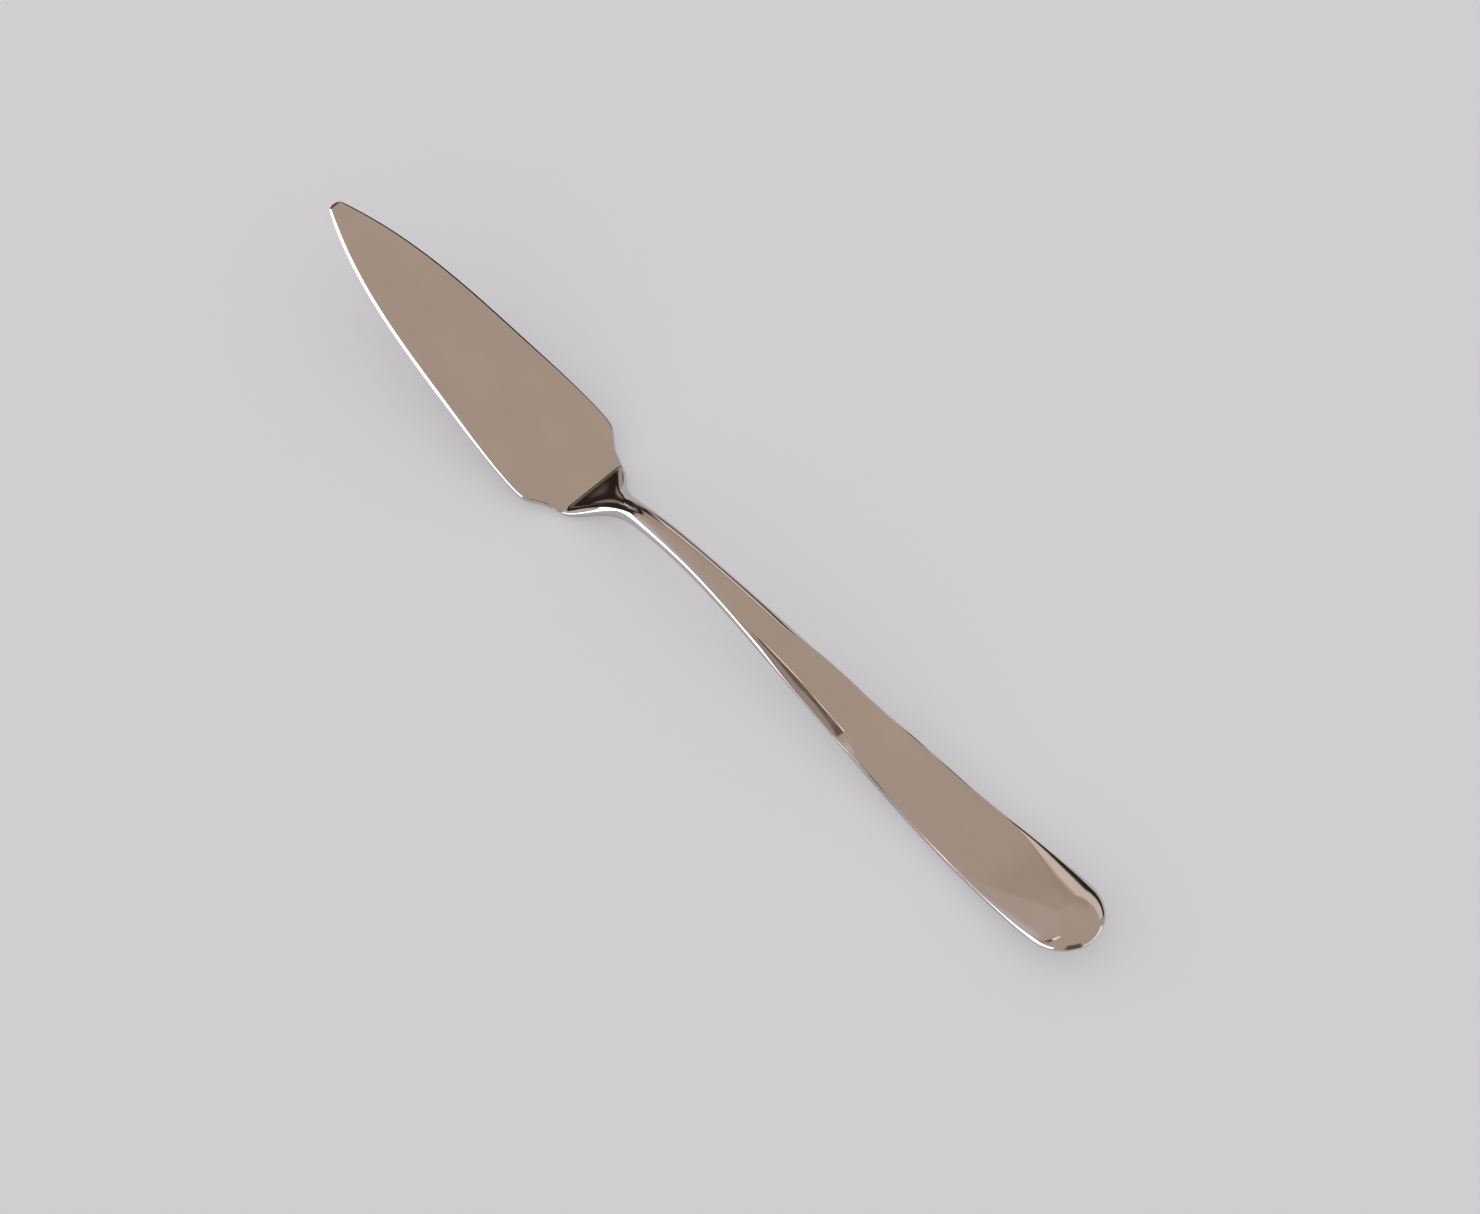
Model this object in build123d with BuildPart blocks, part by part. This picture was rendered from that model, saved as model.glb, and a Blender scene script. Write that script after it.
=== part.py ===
"""Fish knife: a cranked sheet blade brazed into a flared bolster, with a hollow handle of two half shells.

The knife lies along X, tip at -X, and rests on the bolster's flat and the handle's belly at Z = 0.
Lengths are in millimetres.
"""
import os
from math import atan, cos, radians, sin, tan

from build123d import *

# Lengths along the knife
blade_length = 74.0          # tip to the crease at the front of the bolster
bolster_length = 15.0        # crease to the joint with the handle
handle_length = 116.0        # joint to the rounded end

# Blade: a flat spear-shaped sheet, tilted up towards its tip
blade_thickness = 1.3
blade_tilt = 14.6            # degrees, from the heel up to the tip
blade_edge_bevel = 0.5
tip_radius = 2.0
tip_half_angle = 24.0        # degrees between the axis and the side where it leaves the round tip
fore_station = 19.6          # tip to the fore width, along the blade
fore_half_width = 7.35
middle_station = 44.4        # tip to the middle width, along the blade
middle_half_width = 10.5

# Heel: two steps that bring the blade in to the bolster, measured forward from the crease along the blade
widest_setback = 10.5
widest_half_width = 11.9
heel_corner_setback = 6.8
heel_corner_half_width = 11.2
heel_corner_round = 1.6
step_front_setback = 3.9
step_front_half_width = 8.65
step_rear_setback = 2.3
step_rear_half_width = 8.4
shoulder_setback = 0.5       # where the second step meets the bolster's width
bend_setback = 1.9           # the fold between the tilted blade and its level heel
bend_round = 6.0             # on the underside of both folds

# Tongue of the blade, and the slot that it is brazed into
tongue_length = 3.6
tongue_lift = 20.0           # degrees, where it follows the ramp up
lift_station = 0.8           # crease to the fold that lifts it
tongue_root_half_width = 6.2
tongue_tip_half_width = 3.4
braze_gap = 0.12

# Bolster: a flared shoulder with a scooped ramp up to the neck, stations measured from the crease.
# A section has a top and an underside that bow away from the upper and lower edges of its rims
shoulder_half_width = 7.4
lower_lip = 0.5              # metal under the blade
upper_lip = 0.5              # metal over the blade
table_cut = 0.1              # ground off the underside, so that it lies flat on the table
rest_station = 1.6           # rear end of the flat that the knife rests on
rest_half_width = 6.2
rest_rim_top = 3.3
rest_scoop = 0.15            # depth of the scoop between the rims
flare_station = 4.7
flare_half_width = 4.05
flare_rim_top = 5.2
flare_scoop = 0.4
flare_rim_bottom = 1.75
flare_keel = 0.1
ramp_station = 10.2
ramp_half_width = 2.4
ramp_rim_top = 7.7
ramp_crown = 0.8
ramp_rim_bottom = 6.1
ramp_keel = 0.9

# Handle: an arched bar that widens to a paddle. At each station the height of the centre line, half the
# width, half the height of the upright rim, and how far the top and the underside bow out from it
neck_height = 8.6            # at the joint between bolster and handle
neck_slope = 0.2
neck_half_width = 2.35
neck_rim = 0.5
neck_crown = 1.3
neck_keel = 1.3
arch_station = 13.0          # from the joint
arch_height = 9.9
arch_half_width = 2.6
arch_rim = 0.55
arch_crown = 1.15
arch_keel = 1.25
fall_station = 43.0          # from the joint
fall_height = 6.8
fall_half_width = 4.35
fall_rim = 0.85
fall_crown = 0.65
fall_keel = 1.25
belly_setback = 33.0         # from the rounded end
belly_half_width = 6.85
belly_rim = 0.65
belly_crown = 0.25
belly_keel = 1.75
swell_setback = 22.5         # from the rounded end
swell_height = 2.85
swell_half_width = 7.35
swell_rim = 0.55
swell_crown = 0.6
swell_keel = 1.7
paddle_half_width = 7.62     # also the radius of the round end
paddle_height = 4.6
paddle_slope = 0.2
paddle_rim = 0.4
paddle_crown = 2.1
paddle_keel = 1.15
rim_bevel = 0.25             # along the edges of bolster and handle

# Inside the handle
shell_wall = 0.7
hollow_flat = 0.4            # share of the hollow's width where it runs level
seam_film = 0.2              # solder between the two shells
tang_length = 32.0
tang_half_width = 1.0
tang_half_thickness = 0.6

# Places that follow from the sizes
knife_length = blade_length + bolster_length + handle_length
tip_x = -knife_length / 2
end_x = knife_length / 2
crease_x = tip_x + blade_length
joint_x = crease_x + bolster_length
paddle_lean = atan(paddle_slope)
paddle_x = end_x - paddle_half_width * cos(paddle_lean) - (paddle_rim - rim_bevel) * sin(paddle_lean)
bend_x = crease_x - bend_setback
lift_x = crease_x + lift_station
tongue_x = crease_x + tongue_length
blade_lean = radians(blade_tilt)
tip_u = (tip_x - bend_x - blade_edge_bevel * sin(blade_lean)) / cos(blade_lean)
crease_u = bend_setback      # along the blade from the fold, as the tip above
heel_top = lower_lip + blade_thickness
belly_height = belly_rim + belly_keel
tall = 4 * arch_height       # reaches past the knife from below and above
wide = 4 * widest_half_width
blade_plane = Plane((bend_x, 0, lower_lip), x_dir=(cos(blade_lean), 0, -sin(blade_lean)),
                    z_dir=(sin(blade_lean), 0, cos(blade_lean)))
overrun = 2.0                # a profile runs this far past the face that cuts it

# Points of the handle's centre line
joint_point = (joint_x, neck_height)
arch_point = (joint_x + arch_station, arch_height)
fall_point = (joint_x + fall_station, fall_height)
belly_point = (end_x - belly_setback, belly_height)
swell_point = (end_x - swell_setback, swell_height)
paddle_point = (paddle_x, paddle_height)

# Sections of the bolster: place, half width, underside, lower and upper edge of the rim, top
bolster_sections = [
    (crease_x, shoulder_half_width, -table_cut, -table_cut, heel_top + upper_lip, heel_top + upper_lip),
    (crease_x + rest_station, rest_half_width, -table_cut, -table_cut,
     rest_rim_top, rest_rim_top - rest_scoop),
    (crease_x + flare_station, flare_half_width, flare_rim_bottom - flare_keel, flare_rim_bottom,
     flare_rim_top, flare_rim_top - flare_scoop),
    (crease_x + ramp_station, ramp_half_width, ramp_rim_bottom - ramp_keel, ramp_rim_bottom,
     ramp_rim_top, ramp_rim_top + ramp_crown),
    (joint_x, neck_half_width, neck_height - neck_rim - neck_keel, neck_height - neck_rim,
     neck_height + neck_rim, neck_height + neck_rim + neck_crown),
]

# Sections of the handle: point on the centre line, slope, half width, rim, crown, keel
handle_sections = [
    (joint_point, 0, neck_half_width, neck_rim, neck_crown, neck_keel),
    (arch_point, 0, arch_half_width, arch_rim, arch_crown, arch_keel),
    (fall_point, 0, fall_half_width, fall_rim, fall_crown, fall_keel),
    (belly_point, 0, belly_half_width, belly_rim, belly_crown, belly_keel),
    (swell_point, 0, swell_half_width, swell_rim, swell_crown, swell_keel),
    (paddle_point, paddle_slope, paddle_half_width, paddle_rim, paddle_crown, paddle_keel),
]


def section_line(half_width, low, rim_low, rim_high, high):
    """Draw a section with upright bevelled rims, and a top and an underside that bow to their middles."""
    face = half_width - rim_bevel
    wall_high = rim_high - rim_bevel
    wall_low = rim_low + rim_bevel
    Bezier((-face, rim_high), (0, 2 * high - rim_high), (face, rim_high))
    Polyline((face, rim_high), (half_width, wall_high), (half_width, wall_low), (face, rim_low))
    Bezier((face, rim_low), (0, 2 * low - rim_low), (-face, rim_low))
    Polyline((-face, rim_low), (-half_width, wall_low), (-half_width, wall_high), (-face, rim_high))


def across(x, z, slope):
    """The plane across the knife at a place, square to a line of that slope."""
    return Plane((x, 0, z), x_dir=(0, 1, 0), z_dir=(1, 0, slope))


def handle_line(shift):
    """Draw the handle's centre line, shifted up, from the joint past the rounded end, and give its ends."""
    end_point = (end_x + overrun, paddle_height + paddle_slope * (end_x + overrun - paddle_x))
    points = [(x, z + shift) for x, z in (joint_point, arch_point, fall_point, belly_point)]
    arch = Spline(*points, tangents=[(1, neck_slope), (1, 0)])
    points = [(x, z + shift) for x, z in (belly_point, swell_point, paddle_point)]
    paddle = Spline(*points, tangents=[(1, 0), (1, paddle_slope)])
    tail = Line(paddle @ 1, (end_point[0], end_point[1] + shift))
    return arch @ 0, tail @ 1


def core_slab(low, high):
    """The wide slab between two heights above the handle's centre line."""
    with BuildPart() as slab:
        with BuildSketch(Plane.XZ.offset(-wide)):
            with BuildLine():
                low_start, low_end = handle_line(low)
                high_start, high_end = handle_line(high)
                Line(low_start, high_start)
                Line(low_end, high_end)
            make_face()
        extrude(amount=2 * wide)
    return slab.part


def skin_line(half_width, rim, crown, keel):
    """Draw a section of the handle's skin about its centre line."""
    section_line(half_width, -rim - keel, -rim, rim, rim + crown)


def hollow_line(half_width, rim, crown, keel):
    """Draw a section of the hollow, a wall's thickness inside the skin."""
    edge = half_width - shell_wall
    level = hollow_flat * edge
    high = rim + crown - shell_wall
    low = shell_wall - rim - keel
    Polyline(
        (edge, 0),
        (level, high),
        (-level, high),
        (-edge, 0),
        (-level, low),
        (level, low),
        close=True,
    )


def handle_form(draw_section):
    """The form that a kind of section gives when it is lofted along the handle and turned round its end."""
    with BuildPart() as form:
        for (x, z), slope, *sizes in handle_sections:
            with BuildSketch(across(x, z, slope)):
                with BuildLine():
                    draw_section(*sizes)
                make_face()
        loft()
        with BuildSketch(across(x, z, slope)):
            with BuildLine():
                draw_section(*sizes)
            make_face()
            Rectangle(wide, tall, align=(Align.MAX, Align.CENTER), mode=Mode.SUBTRACT)
        revolve(axis=Axis((x, 0, z), (slope, 0, -1)), revolution_arc=180)
    return form.part


def folded_line(depth):
    """Draw the cranked sheet's lengthwise line at a depth above its underside, and give its two ends."""
    first_fold = (bend_x + depth * tan(radians(blade_tilt / 2)), lower_lip + depth)
    second_fold = (lift_x - depth * tan(radians(tongue_lift / 2)), lower_lip + depth)
    tip_run = first_fold[0] - tip_x + overrun
    tongue_run = tongue_x + overrun - second_fold[0]
    line = FilletPolyline(
        (tip_x - overrun, first_fold[1] + tip_run * tan(radians(blade_tilt))),
        first_fold,
        second_fold,
        (tongue_x + overrun, second_fold[1] + tongue_run * tan(radians(tongue_lift))),
        radius=bend_round - depth,
    )
    return line @ 0, line @ 1


def cranked_sheet(gap):
    """The blade's sheet before it is cut to shape, or the space that leaves a gap round it."""
    with BuildPart() as sheet:
        with BuildSketch(Plane.XZ.offset(-wide)):
            with BuildLine():
                low_start, low_end = folded_line(-gap)
                high_start, high_end = folded_line(blade_thickness + gap)
                Line(low_start, high_start)
                Line(low_end, high_end)
            make_face()
        extrude(amount=2 * wide)
    return sheet.part


def tongue_plan(gap):
    """The outline of the tongue from above, or of the slot that leaves a gap round it."""
    with BuildSketch() as plan:
        with BuildLine():
            Polyline(
                (crease_x, 0),
                (crease_x, tongue_root_half_width + gap),
                (tongue_x + gap, tongue_tip_half_width + gap),
                (tongue_x + gap, 0),
                close=True,
            )
        make_face()
        mirror(about=Plane.XZ)
    return plan.sketch


# Tongue of the blade, inside the bolster
with BuildPart() as tongue:
    add(cranked_sheet(0))
    with BuildSketch():
        add(tongue_plan(0))
    extrude(amount=tall, both=True, mode=Mode.INTERSECT)

# Blade: the cranked sheet, cut to the spear outline square to its face
with BuildPart() as blade:
    add(cranked_sheet(0))
    with BuildSketch(blade_plane) as outline:
        with BuildLine():
            lean = radians(tip_half_angle)
            nose_end = (tip_u + tip_radius * (1 - sin(lean)), tip_radius * cos(lean))
            RadiusArc((tip_u, 0), nose_end, tip_radius)
            fore = TangentArc(nose_end, (tip_u + fore_station, fore_half_width), tangent=(cos(lean), sin(lean)))
            middle = TangentArc(fore @ 1, (tip_u + middle_station, middle_half_width), tangent=fore % 1)
            rear = TangentArc(middle @ 1, (crease_u - widest_setback, widest_half_width), tangent=middle % 1)
            heel_corner = (crease_u - heel_corner_setback, heel_corner_half_width)
            TangentArc(rear @ 1, heel_corner, tangent=rear % 1)
            Polyline(
                heel_corner,
                (crease_u - step_front_setback, step_front_half_width),
                (crease_u - step_rear_setback, step_rear_half_width),
                (crease_u - shoulder_setback, shoulder_half_width),
                (crease_u + overrun, shoulder_half_width),
                (crease_u + overrun, 0),
                (tip_u, 0),
            )
        make_face()
        fillet(outline.vertices().sort_by_distance(heel_corner)[0], radius=heel_corner_round)
        mirror(about=Plane.XZ)
    extrude(amount=tall, both=True, mode=Mode.INTERSECT)
    split(bisect_by=Plane((crease_x, 0, 0), z_dir=(-1, 0, 0)), keep=Keep.TOP)

    sheet_faces = blade.faces().filter_by(GeomType.PLANE).sort_by(SortBy.AREA)[-2:]
    spear_end = crease_x - heel_corner_setback + heel_corner_round
    chamfer([edge for edge in sheet_faces.edges() if edge.center().X < spear_end], length=blade_edge_bevel)
    add(tongue.part)
blade.part.label = "blade"

# Tang: a slim bar that follows the handle's centre line
with BuildPart() as tang:
    add(core_slab(-tang_half_thickness, tang_half_thickness))
    with BuildSketch():
        with Locations((joint_x, 0)):
            Rectangle(tang_length, 2 * tang_half_width, align=(Align.MIN, Align.CENTER))
    extrude(amount=tall, both=True, mode=Mode.INTERSECT)

# Slot for the blade's tongue, with room for the braze
with BuildPart() as tongue_slot:
    add(cranked_sheet(braze_gap))
    with BuildSketch():
        add(tongue_plan(braze_gap))
    extrude(amount=tall, both=True, mode=Mode.INTERSECT)

# Bolster: lofted from the shoulder up the scooped ramp to the neck, and ground flat underneath
with BuildPart() as bolster:
    for place, *sizes in bolster_sections:
        with BuildSketch(across(place, 0, 0)):
            with BuildLine():
                section_line(*sizes)
            make_face()
    loft()
    split(bisect_by=Plane.XY, keep=Keep.TOP)
    add(tongue_slot.part, mode=Mode.SUBTRACT)
    add(tang.part)
bolster.part.label = "bolster"

# Braze between the tongue and its slot
with BuildPart() as blade_braze:
    add(tongue_slot.part)
    add(blade.part, mode=Mode.SUBTRACT)
blade_braze.part.label = "blade_braze"

# Handle: a rounded form, hollowed out and split along its middle
hollow = handle_form(hollow_line)
with BuildPart() as handle_wall:
    add(handle_form(skin_line))
    add(hollow, mode=Mode.SUBTRACT)

with BuildPart() as handle_upper_shell:
    add(handle_wall.part)
    add(core_slab(seam_film / 2, tall), mode=Mode.INTERSECT)
handle_upper_shell.part.label = "handle_upper_shell"

with BuildPart() as handle_lower_shell:
    add(handle_wall.part)
    add(core_slab(-tall, -seam_film / 2), mode=Mode.INTERSECT)
handle_lower_shell.part.label = "handle_lower_shell"

with BuildPart() as seam_solder:
    add(handle_wall.part)
    add(core_slab(-seam_film / 2, seam_film / 2), mode=Mode.INTERSECT)
seam_solder.part.label = "seam_solder"

# Cement that fills the hollow round the tang
with BuildPart() as handle_filler:
    add(hollow)
    add(tang.part, mode=Mode.SUBTRACT)
handle_filler.part.label = "handle_filler"

os.makedirs("parts", exist_ok=True)
for piece in (blade, bolster, blade_braze, handle_upper_shell, handle_lower_shell, seam_solder, handle_filler):
    export_step(piece.part, f"parts/{piece.part.label}.step")
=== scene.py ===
import math

import bmesh
import bpy
import numpy as np
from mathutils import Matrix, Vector


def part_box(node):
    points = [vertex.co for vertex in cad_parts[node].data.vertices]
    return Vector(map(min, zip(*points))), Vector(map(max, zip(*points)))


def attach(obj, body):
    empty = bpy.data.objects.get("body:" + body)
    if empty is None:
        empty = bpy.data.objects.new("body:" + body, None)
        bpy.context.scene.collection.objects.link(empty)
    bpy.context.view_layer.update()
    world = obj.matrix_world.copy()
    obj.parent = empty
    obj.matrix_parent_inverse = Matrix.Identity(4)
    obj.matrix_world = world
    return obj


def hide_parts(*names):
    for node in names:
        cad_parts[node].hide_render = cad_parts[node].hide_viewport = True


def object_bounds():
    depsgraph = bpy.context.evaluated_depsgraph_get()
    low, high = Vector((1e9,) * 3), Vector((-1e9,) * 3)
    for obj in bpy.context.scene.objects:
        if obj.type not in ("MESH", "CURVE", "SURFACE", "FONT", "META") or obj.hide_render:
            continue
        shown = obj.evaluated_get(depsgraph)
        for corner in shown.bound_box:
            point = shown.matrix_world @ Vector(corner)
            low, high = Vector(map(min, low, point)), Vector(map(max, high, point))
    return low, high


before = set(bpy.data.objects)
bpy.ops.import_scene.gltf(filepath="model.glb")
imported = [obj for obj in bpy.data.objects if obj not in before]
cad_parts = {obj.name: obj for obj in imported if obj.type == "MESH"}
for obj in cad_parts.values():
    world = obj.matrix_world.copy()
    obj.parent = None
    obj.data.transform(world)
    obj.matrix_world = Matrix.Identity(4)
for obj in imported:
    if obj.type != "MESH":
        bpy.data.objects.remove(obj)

cad_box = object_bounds()

# Places along the knife, read from the parts imported from model.glb, in metres
tip_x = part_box("blade")[0].x
crease_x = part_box("bolster")[0].x
joint_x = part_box("handle_upper_shell")[0].x
end_x = cad_box[1].x

# Blade: a spear-shaped sheet, half widths at distances from the tip
blade_thickness = 0.0013
blade_tilt = math.radians(14.5)
tip_radius = 0.0020
tip_half_angle = math.radians(24.0)
fore_station, fore_half_width = 0.0190, 0.00735
middle_station, middle_half_width = 0.0430, 0.0105
widest_setback, widest_half_width = 0.0105, 0.0119
bend_setback = 0.0019        # where the tilted blade meets its level heel, back from the crease
lower_lip = 0.0005           # thickness of the bolster under the heel

# Edges of the blade
edge_bevel = 0.00060
heel_bevel = 0.00028
bevel_fade_length = 0.030    # where the bevel narrows towards the heel
bevel_limit = 0.3            # most of the half width that the bevel takes up
edge_crisp = 0.1             # share of the bevel that its rounded edges take up
least_edge = 0.00005
back_steepness = 0.65        # how steep the bevel is along the blade's back, next to the other edge's
nose_edge = 0.00012          # half the thickness at the nose's edge
nose_steepness = 0.6
edge_roll = 0.0012           # where the flat face starts to roll over to the bevel
roll_limit = 0.5             # most of the half width that the roll takes up

# Heel of the blade. Each station has its distance back from the crease, the half width there and how far the
# edge rolls down beside the shoulder. The last one is inside the bolster
heel_corner_setback = 0.0068
heel_stations = [
    (0.00865, 0.011775, 0.0),
    (0.0077, 0.0115, 0.0),
    (0.0066, 0.0109, 0.0),
    (0.0059, 0.0103, 0.0),
    (0.0039, 0.00865, 0.0000875),
    (0.0023, 0.0084, 0.00035),
    (0.0006, 0.0074, 0.00035),
    (-0.0010, 0.0054, 0.00035),
]

# Bar of bolster and handle. Each station has its place from the crease and, there, the height of the
# middle line, the half width, the half width of the top face and four distances from the middle line: up
# to the top face, up to the rim, down to the rim and down to the underside. The last two numbers shape the
# flank between top face and rim: its curl away from the face, and its roll over into the rim
bar_sizes = ("middle", "half_width", "face", "top", "rim_top", "rim_low", "low", "curl", "roll")
bar_stations = [
    (-0.0010, 0.00090, 0.00770, 0.0058, 0.00095, 0.00030, 0.0002, 0.0008, 1.80, 1.80),
    (0.0000, 0.00110, 0.00740, 0.0054, 0.00125, 0.00030, 0.0002, 0.0010, 1.80, 1.80),
    (0.0047, 0.00345, 0.00405, 0.0017, 0.00190, 0.00030, 0.0003, 0.0019, 1.90, 1.90),
    (0.0102, 0.00690, 0.00240, 0.0006, 0.00195, 0.00020, 0.0002, 0.0018, 2.00, 2.00),
    (0.0150, 0.00860, 0.00235, 0.0004, 0.00180, 0.00020, 0.0002, 0.0018, 2.00, 2.00),
    (0.0280, 0.00990, 0.00260, 0.0006, 0.00170, 0.00030, 0.0003, 0.0018, 1.90, 1.90),
    (0.0450, 0.00860, 0.00345, 0.0019, 0.00165, 0.00060, 0.0006, 0.0020, 1.40, 1.30),
    (0.0580, 0.00680, 0.00435, 0.0031, 0.00155, 0.00030, 0.0006, 0.0021, 1.25, 1.10),
    (0.0680, 0.00539, 0.00500, 0.0037, 0.00143, 0.00015, 0.0005, 0.0022, 1.25, 1.05),
    (0.0720, 0.00481, 0.00525, 0.0039, 0.00132, 0.00020, 0.0005, 0.0022, 1.20, 1.05),
    (0.0755, 0.00431, 0.00546, 0.0049, 0.00122, 0.00080, 0.0006, 0.0023, 1.05, 1.05),
    (0.0780, 0.00396, 0.00562, 0.0053, 0.00115, 0.00092, 0.0007, 0.0023, 1.00, 1.05),
    (0.0830, 0.00334, 0.00594, 0.0057, 0.00105, 0.00090, 0.0007, 0.0023, 1.00, 1.10),
    (0.0980, 0.00240, 0.00685, 0.0066, 0.00090, 0.00065, 0.0006, 0.0024, 1.00, 1.15),
    (0.1085, 0.00282, 0.00745, 0.0062, 0.00110, 0.00055, 0.0005, 0.0022, 1.20, 1.20),
    (0.1234, 0.00460, 0.00790, 0.0010, 0.00260, 0.00020, 0.0004, 0.0016, 1.90, 1.30),
    (0.1310, 0.00590, 0.00790, 0.0010, 0.00260, 0.00020, 0.0004, 0.0014, 1.90, 1.30),
]
bar_start_slopes = (0.05, -0.2, -0.2, 0.25, 0.0, 0.0, 0.0, 0.0, 0.0)
bar_end_slopes = (0.2, 0.0, 0.0, 0.0, 0.0, 0.0, 0.0, 0.0, 0.0)
face_margin = 0.0003         # least width of the flank beside the top face
keel_curl, keel_roll = 2.2, 2.0
scoop_depth = 0.00032        # how far the ramp is hollowed across, at its deepest
scoop_length = 0.0135
scoop_fade = 1.5
face_lean = 0.0008           # how far the top face sits off the middle, to the right, at most
lean_starts, lean_is_full = 0.0470, 0.0600
lean_fades, lean_ends = 0.0710, 0.0760
end_draw = 0.08              # share by which the round end is drawn in at its last point
end_draw_length = 0.0120
end_draw_power = 1.15
shell_wall = 0.0007
seam_film = 0.0002

# How finely the pieces are drawn. Places are measured from the crease, steps are shares of a face or flank
nose_start_turn = 0.15       # how far round the tip's arc the first section lies, in radians
nose_sections, side_sections = 6, 24
ramp_places = (
    -0.0010, -0.0007, -0.0003, 0.0002, 0.0008, 0.0014, 0.0021,
    0.0029, 0.0038, 0.0048, 0.0060, 0.0073, 0.0087, 0.0102,
)
neck_places = (0.0118, 0.0134, 0.0150, 0.0166, 0.0182)
paddle_sections = 34
end_turn_steps = 12
face_steps = (0.0, 0.45, 0.85)
flank_steps = (0.0, 0.2, 0.45, 0.68, 0.86, 0.95, 1.0)
blade_smoothing, bolster_smoothing, handle_smoothing = 3, 3, 2
weld = 1e-7                  # points nearer than this are one point
mirror_weld = 1e-6

# Finishes: steel wanders between two colours, and every speckle spreads the middle of its noise
worn_steel, clean_steel = (0.60, 0.58, 0.56), (0.64, 0.62, 0.60)
speckle_detail = 4.0
speckle_low, speckle_high = 0.3, 0.7

table_colour = (0.64, 0.62, 0.64)
table_roughness = 0.5
table_glow = 0.5             # share of the table's look that its shadows don't reach
table_half_side = 2.0

# Sky that the polished steel mirrors: warm all over, with soft-edged panels laid over it in this order. Each
# panel has its colour, the turns from the tip's side and the heights between which it lies, and how soft its
# edge is, in degrees. A turn is counted to the left, looking from the handle to the tip
warm_sky = (0.57, 0.45, 0.37)
white_panel = (1.2, 1.1, 1.05)
sky_panels = [
    ((0.48, 0.375, 0.31), (-75, -20), (30, 47), 10),       # deeper warm panel on the right
    ((0.585, 0.47, 0.405), (-12, 62), (34, 76), 16),       # paler warm panel overhead
    ((0.68, 0.60, 0.63), (12, 62), (24, 46), 6),           # cool panel above the window
    ((0.035, 0.025, 0.022), (-108, 22), (-12, 33), 4),     # dark panel low on the right
    ((0.24, 0.17, 0.147), (-40, -8), (14, 21), 2),         # dim strip across the dark
    ((0.49, 0.39, 0.36), (-54, -27), (-3, 13), 2),         # warm patch at the foot of the dark
    ((0.88, 0.72, 0.62), (-108, -47), (16, 34), 3),        # cream panel on the right
    ((1.30, 1.10, 0.97), (76, 84), (59.5, 72), 1.5),       # narrow strip on the left: its bright top
    ((0.20, 0.135, 0.10), (75, 84), (45, 58), 1.5),        # the strip's dark middle
    ((0.42, 0.35, 0.31), (75, 84), (26, 45), 1.5),         # the strip's dim foot
    ((0.15, 0.10, 0.07), (128, 166), (12, 54), 5),         # brown panel past the handle, on the left
    (white_panel, (168, 182), (-5, 26), 3),                # low white panel past the handle
    (white_panel, (-182, -124), (-5, 26), 3),              # the same panel, past the half turn
    ((3.0, 3.0, 3.1), (20, 108), (2, 25), 2),              # window low on the left
]

# Light on all that doesn't mirror: plain, with one brighter panel where the window is
plain_light = (0.90, 0.90, 0.90)
window_light = ((1.8, 1.8, 1.8), (10, 118), (4, 36), 4)

# Camera: where it stands round the knife, and the point in the middle of the picture
camera_azimuth = math.radians(46.42)
camera_elevation = math.radians(61.01)
camera_distance = 0.700
camera_lens = 90.8
look_at = Vector((0.00803, 0.00319, 0.0))


def kept_share(value):
    """A share, held between nought and one."""
    return min(1, max(0, value))


def soft_step(place, start, end):
    """Nought before the start, one after the end, and a soft rise between them."""
    share = kept_share((place - start) / (end - start))
    return share * share * (3 - 2 * share)


def fair_line(places, values, start_slope, end_slope):
    """A smooth curve through values at places along the knife, with the slope given at each end."""
    places = np.array(places)
    values = np.array(values)
    gaps = np.diff(places)
    rises = np.diff(values) / gaps
    rows = np.zeros((len(places), len(places)))
    right = np.zeros(len(places))
    rows[0, 0] = rows[-1, -1] = 1
    right[0], right[-1] = start_slope, end_slope
    for i in range(1, len(places) - 1):
        rows[i, i - 1] = 1 / gaps[i - 1]
        rows[i, i] = 2 / gaps[i - 1] + 2 / gaps[i]
        rows[i, i + 1] = 1 / gaps[i]
        right[i] = 3 * rises[i - 1] / gaps[i - 1] + 3 * rises[i] / gaps[i]
    slopes = np.linalg.solve(rows, right)

    def line(place):
        """The curve's value at a place, carried on straight past its ends."""
        i = int(np.clip(np.searchsorted(places, place) - 1, 0, len(gaps) - 1))
        t = (place - places[i]) / gaps[i]
        if t < 0:
            return values[0] + slopes[0] * (place - places[0])
        if t > 1:
            return values[-1] + slopes[-1] * (place - places[-1])
        start = values[i] * (1 + 2 * t) * (1 - t) ** 2 + values[i + 1] * t * t * (3 - 2 * t)
        return start + gaps[i] * (slopes[i] * t * (1 - t) ** 2 + slopes[i + 1] * t * t * (t - 1))

    return line


def draw_out(bm, sections):
    """Extrude a chain of edges from section to section, and give the last chain's vertices."""
    chain = [bm.verts.new(point) for point in sections[0]]
    for first, second in zip(chain, chain[1:]):
        bm.edges.new((first, second))
    for section in sections[1:]:
        edges = [bm.edges.get(pair) for pair in zip(chain, chain[1:])]
        fresh = bmesh.ops.extrude_edge_only(bm, edges=edges)["geom"]
        fresh = {v for v in fresh if isinstance(v, bmesh.types.BMVert)}
        chain = [next(e.other_vert(v) for e in v.link_edges if e.other_vert(v) in fresh) for v in chain]
        for vertex, point in zip(chain, section):
            vertex.co = point
    return chain


def both_sides(bm):
    """Mirror a half piece across the knife's middle, and turn its faces outwards."""
    bmesh.ops.remove_doubles(bm, verts=bm.verts, dist=weld)
    bmesh.ops.mirror(bm, geom=bm.verts[:] + bm.edges[:] + bm.faces[:], axis="Y", merge_dist=mirror_weld)
    bmesh.ops.recalc_face_normals(bm, faces=bm.faces)


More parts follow.
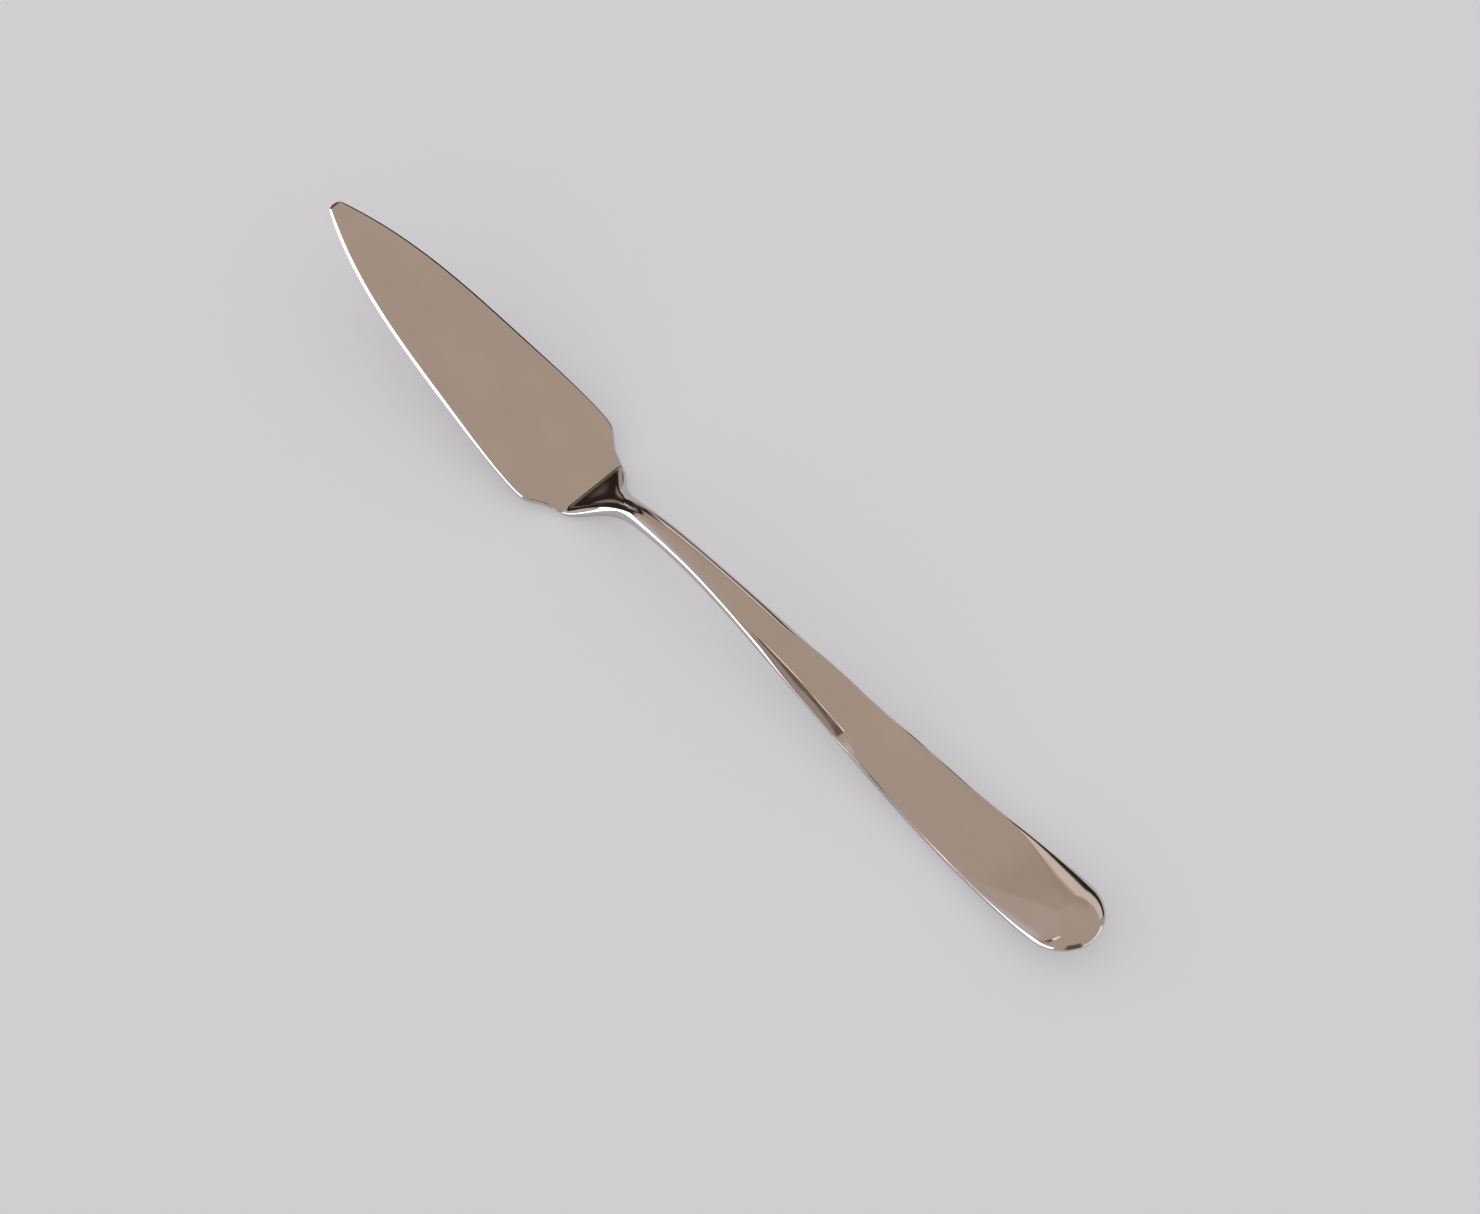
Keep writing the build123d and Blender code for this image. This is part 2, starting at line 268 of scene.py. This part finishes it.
def close_ends(bm):
    """Fill the open ends with flat faces whose edges stay sharp."""
    crease = bm.edges.layers.float.new("crease_edge")
    open_edges = [edge for edge in bm.edges if edge.is_boundary]
    bmesh.ops.holes_fill(bm, edges=open_edges, sides=0)
    for edge in open_edges:
        edge[crease] = 1.0
        edge.smooth = False
    bmesh.ops.recalc_face_normals(bm, faces=bm.faces)


def smoothed(bm, levels):
    """Turn a cage into the mesh that a subdivision surface makes of it."""
    mesh = bpy.data.meshes.new("cage")
    bm.to_mesh(mesh)
    cage = bpy.data.objects.new("cage", mesh)
    bpy.context.scene.collection.objects.link(cage)
    smoothing = cage.modifiers.new("smoothing", "SUBSURF")
    smoothing.levels = smoothing.render_levels = levels
    bpy.context.view_layer.update()
    fine = bpy.data.meshes.new_from_object(cage.evaluated_get(bpy.context.evaluated_depsgraph_get()))
    bm.clear()
    bm.from_mesh(fine)
    bpy.data.objects.remove(cage)
    bpy.data.meshes.remove(mesh)
    bpy.data.meshes.remove(fine)


def cut_at(bm, x, keep_rear):
    """Cut a piece square at a place along the knife, keep one side and close it."""
    geometry = bm.verts[:] + bm.edges[:] + bm.faces[:]
    cut = bmesh.ops.bisect_plane(
        bm,
        geom=geometry,
        dist=weld,
        plane_co=(x, 0, 0),
        plane_no=(1, 0, 0),
        clear_inner=keep_rear,
        clear_outer=not keep_rear,
    )
    edges = [edge for edge in cut["geom_cut"] if isinstance(edge, bmesh.types.BMEdge)]
    bmesh.ops.holes_fill(bm, edges=edges, sides=0)
    for edge in edges:
        edge.smooth = False
    bmesh.ops.recalc_face_normals(bm, faces=bm.faces)
    if bm.calc_volume(signed=True) < 0:
        bmesh.ops.reverse_faces(bm, faces=bm.faces)


def finish_piece(bm, name, material, levels=0):
    """Make the piece's object, smooth it and let it ride on the knife."""
    mesh = bpy.data.meshes.new(name)
    bm.to_mesh(mesh)
    bm.free()
    for face in mesh.polygons:
        face.use_smooth = True
    mesh.materials.append(material)
    piece = bpy.data.objects.new(name, mesh)
    bpy.context.scene.collection.objects.link(piece)
    if levels:
        smoothing = piece.modifiers.new("smoothing", "SUBSURF")
        smoothing.levels = smoothing.render_levels = levels
    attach(piece, "root")
    return piece


def blade_section(x, half_width, droop):
    """Half a section of the blade sheet, from its middle above round the edge to its middle below."""
    half = blade_thickness / 2
    shoulder = half - droop
    roll = min(edge_roll + droop, half_width * roll_limit)
    heel_corner_x = crease_x - heel_corner_setback
    fade = soft_step(x, heel_corner_x - bevel_fade_length, heel_corner_x)
    bevel = edge_bevel + (heel_bevel - edge_bevel) * fade
    bevel = min(bevel, half_width * bevel_limit, shoulder - least_edge)
    edge = shoulder - bevel
    soft = bevel * edge_crisp
    above = [
        (0, half),
        ((half_width - roll) / 2, half),
        (half_width - roll, half),
        (half_width - bevel - soft, shoulder),
        (half_width - bevel + soft, shoulder - soft),
        (half_width - soft, edge + soft),
        (half_width, edge - least_edge / 2),
    ]
    below = [(y, -z) for y, z in reversed(above)]
    return [(x, y, z) for y, z in above + below]


def blade_stations():
    """Places along the blade with the half width and droop there: nose, side and heel in turn."""
    widest_x = crease_x - widest_setback
    nose_end_x = tip_x + tip_radius * (1 - math.sin(tip_half_angle))
    side = fair_line(
        [nose_end_x, tip_x + fore_station, tip_x + middle_station, widest_x],
        [tip_radius * math.cos(tip_half_angle), fore_half_width, middle_half_width, widest_half_width],
        math.tan(tip_half_angle),
        0,
    )
    stations = []
    for turn in np.linspace(nose_start_turn, math.pi / 2 - tip_half_angle, nose_sections):
        x = tip_x + tip_radius * (1 - math.cos(turn))
        stations.append((x, tip_radius * math.sin(turn), 0))
    for x in np.linspace(nose_end_x, widest_x, side_sections)[1:]:
        stations.append((x, side(x), 0))
    for setback, half_width, droop in heel_stations:
        stations.append((crease_x - setback, half_width, droop))
    return stations


def bend_blade(bm):
    """Thin the blade's back and nose to their own bevels, and tilt the blade up from its level heel."""
    half = blade_thickness / 2
    for vertex in bm.verts:
        x, y, z = vertex.co
        height = abs(z)
        if y > 0 and x < crease_x - heel_corner_setback:
            height = half - (half - height) * back_steepness
        height = min(height, nose_edge + max(0, x - tip_x) * nose_steepness)
        rise = max(0, crease_x - bend_setback - x) * math.tan(blade_tilt)
        vertex.co.z = math.copysign(height, z) + lower_lip + half + rise


def make_blade(material):
    """The spear-shaped sheet, from its nose to the heel that runs on inside the bolster."""
    bm = bmesh.new()
    draw_out(bm, [blade_section(*station) for station in blade_stations()])
    both_sides(bm)
    close_ends(bm)
    bend_blade(bm)
    piece = finish_piece(bm, "blade_spear", material, blade_smoothing)
    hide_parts("blade")


def bar_lines():
    """The bar's sizes as smooth lines along the knife, under their names."""
    columns = list(zip(*bar_stations))
    places = [crease_x + place for place in columns[0]]
    rows = zip(bar_sizes, columns[1:], bar_start_slopes, bar_end_slopes)
    return {name: fair_line(places, values, start, end) for name, values, start, end in rows}


bar = bar_lines()


def flank(step, high, rim, curl, roll):
    """Height of a flank at a step of its way from where it is high out to the rim."""
    return rim + (high - rim) * (1 - step ** max(curl, 1)) ** (1 / max(roll, 1))


def bar_section(x, depth=0.0):
    """Half a section of the bar above and below its middle line, or of the hollow at a depth in it."""
    half_width = bar["half_width"](x) - depth
    top, low = bar["top"](x) - depth, bar["low"](x) - depth
    rim_top, rim_low = bar["rim_top"](x), bar["rim_low"](x)
    curl, roll = bar["curl"](x), bar["roll"](x)
    face = min(bar["face"](x), half_width - face_margin)
    share = kept_share((x - crease_x) / scoop_length)
    dish = scoop_depth * (4 * share * (1 - share)) ** scoop_fade
    film = seam_film / 2
    above = [(face * step, top - dish * (1 - step * step)) for step in face_steps]
    for step in flank_steps:
        above.append((face + (half_width - face) * step, flank(step, top, rim_top, curl, roll)))
    above += [(half_width, (rim_top + film) / 2), (half_width, film)]
    below = [(half_width * step, -flank(step, low, rim_low, keel_curl, keel_roll)) for step in flank_steps]
    below += [(half_width, -(rim_low + film) / 2), (half_width, -film)]
    return [(x, y, z) for y, z in above], [(x, y, z) for y, z in reversed(below)]


def bend_bar(bm):
    """Lift a straight bar on to its arched middle line, lean its top face and draw in its end."""
    for vertex in bm.verts:
        x, y, z = vertex.co
        place = x - crease_x
        lean = face_lean * soft_step(place, lean_starts, lean_is_full)
        lean *= soft_step(place, lean_ends, lean_fades)
        top, rim = bar["top"](x), bar["rim_top"](x)
        share = kept_share((z - rim) / (top - rim))
        drawn = max(0, 1 - (end_x - x) / end_draw_length) ** end_draw_power * end_draw
        vertex.co = (x, y * (1 - drawn) + lean * share, z + bar["middle"](x))


def make_bolster(material):
    """The flared shoulder with its scooped ramp, and the neck up to the handle."""
    sections = []
    for place in ramp_places + neck_places:
        above, below = bar_section(crease_x + place)
        sections.append(above + below)
    bm = bmesh.new()
    draw_out(bm, sections)
    both_sides(bm)
    close_ends(bm)
    smoothed(bm, bolster_smoothing)
    cut_at(bm, joint_x, False)
    bend_bar(bm)
    piece = finish_piece(bm, "bolster_flare", material)
    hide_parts("bolster")


def handle_places():
    """Places along the handle for its sections, from just before the joint to the middle of the round end."""
    paddle_x = end_x - bar["half_width"](end_x)
    neck = [crease_x + place for place in neck_places]
    return neck + list(np.linspace(neck[-1], paddle_x, paddle_sections)[1:])


def make_handle_piece(name, section_at, material):
    """Draw a piece of the handle through its sections, turn its round end, smooth it, cut it and bend it."""
    bm = bmesh.new()
    chain = draw_out(bm, [section_at(x) for x in handle_places()])
    last = [bm.edges.get(pair) for pair in zip(chain, chain[1:])]
    bmesh.ops.spin(
        bm,
        geom=chain + last,
        cent=(chain[0].co.x, 0, 0),
        axis=(0, 0, 1),
        angle=-math.pi / 2,
        steps=end_turn_steps,
        use_duplicate=False,
    )
    both_sides(bm)
    close_ends(bm)
    crease = bm.edges.layers.float["crease_edge"]
    for edge in bm.edges:
        if all(abs(vertex.co.z) < seam_film / 2 + weld for vertex in edge.verts):
            edge[crease] = 1.0
            edge.smooth = False
    smoothed(bm, handle_smoothing)
    cut_at(bm, joint_x, True)
    bend_bar(bm)
    return finish_piece(bm, name, material)


def upper_shell_section(x):
    """Half a section of the upper shell: its skin, and back along its hollow."""
    return bar_section(x)[0] + bar_section(x, shell_wall)[0][::-1]


def lower_shell_section(x):
    """Half a section of the lower shell: its hollow, and back along its skin."""
    return bar_section(x, shell_wall)[1][::-1] + bar_section(x)[1]


def core_section(x):
    """Half a section of the cement, as full as the shells leave room for."""
    above, below = bar_section(x, shell_wall)
    return above + below


def seam_section(x):
    """A section of the film of solder between the two shells."""
    film = seam_film / 2
    outer = bar["half_width"](x)
    inner = outer - shell_wall
    corners = [(inner, film), (outer, film), (outer, -film), (inner, -film), (inner, film)]
    return [(x, y, z) for y, z in corners]


def make_handle_shells(material):
    """The two stamped halves of the hollow handle."""
    for name, section_at in (("upper", upper_shell_section), ("lower", lower_shell_section)):
        piece = make_handle_piece(f"handle_{name}_skin", section_at, material)
        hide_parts(f"handle_{name}_shell")


def make_handle_core(material):
    """The cement in the hollow of the handle."""
    piece = make_handle_piece("handle_core", core_section, material)
    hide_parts("handle_filler")


def make_seam(material):
    """The solder that joins the two shells round their edge."""
    piece = make_handle_piece("handle_seam", seam_section, material)
    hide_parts("seam_solder")


def feed(tree, socket, value):
    """Link another node's result to a socket, or set a plain number or colour on the socket itself."""
    if isinstance(value, bpy.types.NodeSocket):
        tree.links.new(value, socket)
    elif isinstance(value, tuple):
        socket.default_value = (*value, 1)
    else:
        socket.default_value = value


def reckon(tree, operation, *values):
    """A sum of the given kind, on numbers or other nodes' results."""
    node = tree.nodes.new("ShaderNodeMath")
    node.operation = operation
    for socket, value in zip(node.inputs, values):
        feed(tree, socket, value)
    return node.outputs["Value"]


def ramp(tree, value, start, end, low=0.0, high=1.0, kind="LINEAR"):
    """A number that goes from low to high as the value goes from start to end."""
    node = tree.nodes.new("ShaderNodeMapRange")
    node.interpolation_type = kind
    node.inputs["From Min"].default_value = start
    node.inputs["From Max"].default_value = end
    node.inputs["To Min"].default_value = low
    node.inputs["To Max"].default_value = high
    tree.links.new(value, node.inputs["Value"])
    return node.outputs["Result"]


def lay_over(tree, share, under, over):
    """One colour laid over another, by a share."""
    node = tree.nodes.new("ShaderNodeMix")
    node.data_type = "RGBA"
    feed(tree, node.inputs["Factor"], share)
    feed(tree, node.inputs["A"], under)
    feed(tree, node.inputs["B"], over)
    return node.outputs["Result"]


def speckle(tree, stretch, low, high):
    """Noise over the piece, stretched by repeats per metre, spread between two values."""
    place = tree.nodes.new("ShaderNodeTexCoord")
    run = tree.nodes.new("ShaderNodeMapping")
    run.inputs["Scale"].default_value = stretch
    tree.links.new(place.outputs["Object"], run.inputs["Vector"])
    noise = tree.nodes.new("ShaderNodeTexNoise")
    noise.inputs["Scale"].default_value = 1.0
    noise.inputs["Detail"].default_value = speckle_detail
    tree.links.new(run.outputs["Vector"], noise.inputs["Vector"])
    return ramp(tree, noise.outputs["Fac"], speckle_low, speckle_high, low, high)


def make_finish(name, metallic, worn, clean, roughness, patches, grain, grain_depth):
    """A finish that wanders between two colours in patches, with a fine grain in gloss and surface."""
    material = bpy.data.materials.new(name)
    material.use_nodes = True
    tree = material.node_tree
    shader = tree.nodes["Principled BSDF"]
    shader.inputs["Metallic"].default_value = metallic
    colour = lay_over(tree, speckle(tree, patches, 0, 1), worn, clean)
    tree.links.new(colour, shader.inputs["Base Color"])
    tree.links.new(speckle(tree, grain, *roughness), shader.inputs["Roughness"])
    bump = tree.nodes.new("ShaderNodeBump")
    bump.inputs["Distance"].default_value = grain_depth
    tree.links.new(speckle(tree, grain, 0, 1), bump.inputs["Height"])
    tree.links.new(bump.outputs["Normal"], shader.inputs["Normal"])
    return material


def studio_sky():
    """Soft panels for what mirrors, a plain light for the rest, and the table's colour past its edge."""
    world = bpy.data.worlds.new("studio_sky")
    bpy.context.scene.world = world
    world.use_nodes = True
    tree = world.node_tree
    place = tree.nodes.new("ShaderNodeTexCoord")
    back = tree.nodes.new("ShaderNodeVectorMath")
    back.operation = "SCALE"
    back.inputs["Scale"].default_value = -1.0
    tree.links.new(place.outputs["Generated"], back.inputs[0])
    parts = tree.nodes.new("ShaderNodeSeparateXYZ")
    tree.links.new(back.outputs["Vector"], parts.inputs["Vector"])
    turn = reckon(tree, "ARCTAN2", parts.outputs["Y"], parts.outputs["X"])
    rise = reckon(tree, "MULTIPLY", reckon(tree, "ARCSINE", parts.outputs["Z"]), -1.0)

    def within(value, span, soft):
        """One inside a span of degrees and nought outside it, with soft ends."""
        low, high = span
        up = ramp(tree, value, math.radians(low - soft), math.radians(low + soft), kind="SMOOTHSTEP")
        down = ramp(tree, value, math.radians(high + soft), math.radians(high - soft), kind="SMOOTHSTEP")
        return reckon(tree, "MULTIPLY", up, down)

    def panel(under, colour, turns, rises, soft):
        """Lay a soft-edged panel over what is there."""
        cover = reckon(tree, "MULTIPLY", within(turn, turns, soft), within(rise, rises, soft))
        return lay_over(tree, cover, under, colour)

    mirrored = warm_sky
    for sky_panel in sky_panels:
        mirrored = panel(mirrored, *sky_panel)
    ray = tree.nodes.new("ShaderNodeLightPath")
    light = lay_over(tree, ray.outputs["Is Glossy Ray"], panel(plain_light, *window_light), mirrored)
    seen = lay_over(tree, ray.outputs["Is Camera Ray"], light, table_colour)
    tree.links.new(seen, tree.nodes["Background"].inputs["Color"])


def make_floor():
    """The pale table, whose shadows are softened by a share of its own colour."""
    bm = bmesh.new()
    bmesh.ops.create_grid(bm, x_segments=1, y_segments=1, size=table_half_side)
    mesh = bpy.data.meshes.new("floor")
    bm.to_mesh(mesh)
    bm.free()
    material = bpy.data.materials.new("pale_table")
    material.use_nodes = True
    tree = material.node_tree
    shader = tree.nodes["Principled BSDF"]
    shader.inputs["Base Color"].default_value = (*table_colour, 1)
    shader.inputs["Roughness"].default_value = table_roughness
    shader.inputs["Specular IOR Level"].default_value = 0.0
    glow = tree.nodes.new("ShaderNodeEmission")
    glow.inputs["Color"].default_value = (*table_colour, 1)
    ray = tree.nodes.new("ShaderNodeLightPath")
    mix = tree.nodes.new("ShaderNodeMixShader")
    tree.links.new(reckon(tree, "MULTIPLY", ray.outputs["Is Camera Ray"], table_glow), mix.inputs["Fac"])
    tree.links.new(shader.outputs["BSDF"], mix.inputs[1])
    tree.links.new(glow.outputs["Emission"], mix.inputs[2])
    tree.links.new(mix.outputs["Shader"], tree.nodes["Material Output"].inputs["Surface"])
    mesh.materials.append(material)
    floor = bpy.data.objects.new("floor", mesh)
    bpy.context.scene.collection.objects.link(floor)


def make_camera():
    """The camera at the picture's angle, turned to the point in the middle of the picture."""
    back = Vector((
        math.sin(camera_azimuth) * math.cos(camera_elevation),
        -math.cos(camera_azimuth) * math.cos(camera_elevation),
        math.sin(camera_elevation),
    ))
    data = bpy.data.cameras.new("camera")
    data.lens = camera_lens
    camera = bpy.data.objects.new("camera", data)
    camera.location = look_at + back * camera_distance
    camera.rotation_mode = "QUATERNION"
    camera.rotation_quaternion = (-back).to_track_quat("-Z", "Y")
    bpy.context.scene.collection.objects.link(camera)
    bpy.context.scene.camera = camera


bpy.context.scene.view_settings.view_transform = "Standard"
blade_steel = make_finish(
    "blade_steel",
    metallic=1,
    worn=worn_steel,
    clean=clean_steel,
    roughness=(0.04, 0.09),
    patches=(90, 130, 130),
    grain=(150, 4000, 4000),
    grain_depth=4e-7,
)
bolster_steel = make_finish(
    "bolster_steel",
    metallic=1,
    worn=worn_steel,
    clean=clean_steel,
    roughness=(0.03, 0.07),
    patches=(200, 200, 200),
    grain=(900, 900, 900),
    grain_depth=2e-7,
)
handle_steel = make_finish(
    "handle_steel",
    metallic=1,
    worn=worn_steel,
    clean=clean_steel,
    roughness=(0.04, 0.09),
    patches=(70, 160, 160),
    grain=(300, 3000, 3000),
    grain_depth=4e-7,
)
solder = make_finish(
    "solder",
    metallic=1,
    worn=(0.50, 0.49, 0.48),
    clean=(0.58, 0.57, 0.56),
    roughness=(0.15, 0.30),
    patches=(400, 400, 400),
    grain=(2500, 2500, 2500),
    grain_depth=2e-6,
)
cement = make_finish(
    "cement",
    metallic=0,
    worn=(0.16, 0.12, 0.09),
    clean=(0.24, 0.19, 0.15),
    roughness=(0.75, 0.95),
    patches=(300, 300, 300),
    grain=(3000, 3000, 3000),
    grain_depth=5e-5,
)
make_blade(blade_steel)
make_bolster(bolster_steel)
make_handle_shells(handle_steel)
make_handle_core(cement)
make_seam(solder)
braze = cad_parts["blade_braze"].data.materials
braze.clear()
braze.append(solder)
make_floor()
studio_sky()
make_camera()
